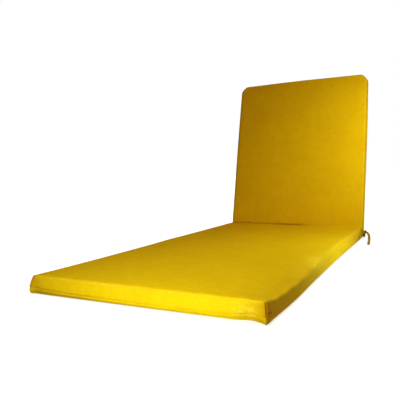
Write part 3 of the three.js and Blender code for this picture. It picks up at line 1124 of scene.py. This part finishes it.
lamps = {  # place, aim, size, spread in degrees, light
    "front": ((-0.18, -1.044, 0.787), (0.415, -0.676, 0.2), (0.555, 0.3), 124, (4.0, 4.53, 1.6)),
    "backFill": ((0.487, 0.188, 0.349), (0.483, 0.251, 0.365), (0.232, 0.251), 126, (0.56, 0.655, 0.2)),
    "sideStrip": ((0.949, 0.423, 0.352), (0.491, 0.113, 0.044), (0.403, 0.194), 53, (0.66, 0.858, 0.12)),
    "footFill": ((0.098, -0.79, 0.055), (-0.131, -0.439, 0.281), (0.457, 0.385), 136,
                 (0.644, 0.838, 0.28)),
    "over": ((0.565, 0.421, 0.631), (-0.052, 0.538, 0.072), (0.404, 0.399), 161, (1.55, 1.48, 0.55)),
    "footStrip": ((-0.512, -1.735, 1.003), (-0.021, -0.073, 0.291), (1.189, 0.104), 41,
                  (0.458, 0.367, 0.12)),
    "footLow": ((0.11, -1.0, 0.035), (0.11, -0.6, 0.035), (0.76, 0.05), 180, (0.66, 0.68, 0.2)),
    "foldFill": ((1.124, 0.688, 0.051), (0.538, 0.491, -0.035), (0.181, 0.114), 75, (0.3, 0.391, 0.03)),
    "rear": ((0, 2.3, 0.3), (0, 0.75, 0.33), (1, 0.4), 150, (15, 17, 7)),
}

groundLamps = {  # the second casts no shadow of the cushion
    "ground": ((0, 0, 12), (0, 0, 0), (90, 90), 180, (2400, 2600, 2650)),
    "groundClear": ((0, 0, 12.5), (0, 0, 0), (90, 90), 180, (29800, 31900, 32700)),
}


def addLamp(name, row, lit, shading=None):
    place, aim, size, spread, light = row
    data = bpy.data.lights.new(name, "AREA")
    data.shape = "RECTANGLE"
    data.size, data.size_y = size
    data.spread = radians(spread)
    data.energy = max(light)
    data.color = [part / data.energy for part in light]
    lamp = bpy.data.objects.new(name, data)
    lamp.location = place
    toward = Vector(aim) - Vector(place)
    lamp.rotation_euler = toward.to_track_quat("-Z", "Y").to_euler()
    lamp.visible_camera = False
    lamp.light_linking.receiver_collection = lit
    lamp.light_linking.blocker_collection = shading
    putInScene(lamp)


def addFloor(kit):
    material, tree, shader = startMaterial("studioFloor")
    place = tree.nodes.new("ShaderNodeTexCoord")
    tone = cloudy(tree, place.outputs["Object"], 1.5, 3.0)
    share = span(tree, tone, 0.3, 0.7, 0.0, 0.15)
    colour = blendColour(tree, share, kit["floor"], kit["floorDeeper"])
    tree.links.new(colour, shader.inputs["Base Color"])
    shader.inputs["Roughness"].default_value = 0.9
    mesh = bpy.data.meshes.new("studioFloor")
    corners = [(x * kit["floorReach"], y * kit["floorReach"], kit["floorHeight"])
               for x, y in ((-1, -1), (1, -1), (1, 1), (-1, 1))]
    mesh.from_pydata(corners, [], [(0, 1, 2, 3)])
    mesh.materials.append(material)
    floor = bpy.data.objects.new("studioFloor", mesh)
    floor.visible_diffuse = False
    putInScene(floor)
    return floor


def addWorld(kit):
    world = bpy.data.worlds.new("studioAir")
    scene.world = world
    world.use_nodes = True
    tree = world.node_tree
    tree.nodes.clear()
    out = tree.nodes.new("ShaderNodeOutputWorld")
    seen = tree.nodes.new("ShaderNodeLightPath")
    dim = addNode(tree, "ShaderNodeBackground", {"Color": kit["ambient"]}).outputs[0]
    plain = addNode(tree, "ShaderNodeBackground", {"Color": kit["backdrop"]}).outputs[0]
    blend = addNode(tree, "ShaderNodeMixShader", {0: seen.outputs["Is Camera Ray"], 1: dim, 2: plain})
    tree.links.new(blend.outputs[0], out.inputs["Surface"])


floor = addFloor(studio)
litPieces = bpy.data.collections.new("litPieces")
for piece in (paddedCushion, tieTail, tieShortEnd, tieKnot):
    litPieces.objects.link(piece)
litGround = bpy.data.collections.new("litGround")
litGround.objects.link(floor)
for lampName, row in lamps.items():
    addLamp(lampName, row, litPieces)
for (lampName, row), shading in zip(groundLamps.items(), (None, litGround)):
    addLamp(lampName, row, litGround, shading)
addWorld(studio)
scene.view_settings.view_transform = "Standard"
scene.view_settings.look = "None"
print("studio set")
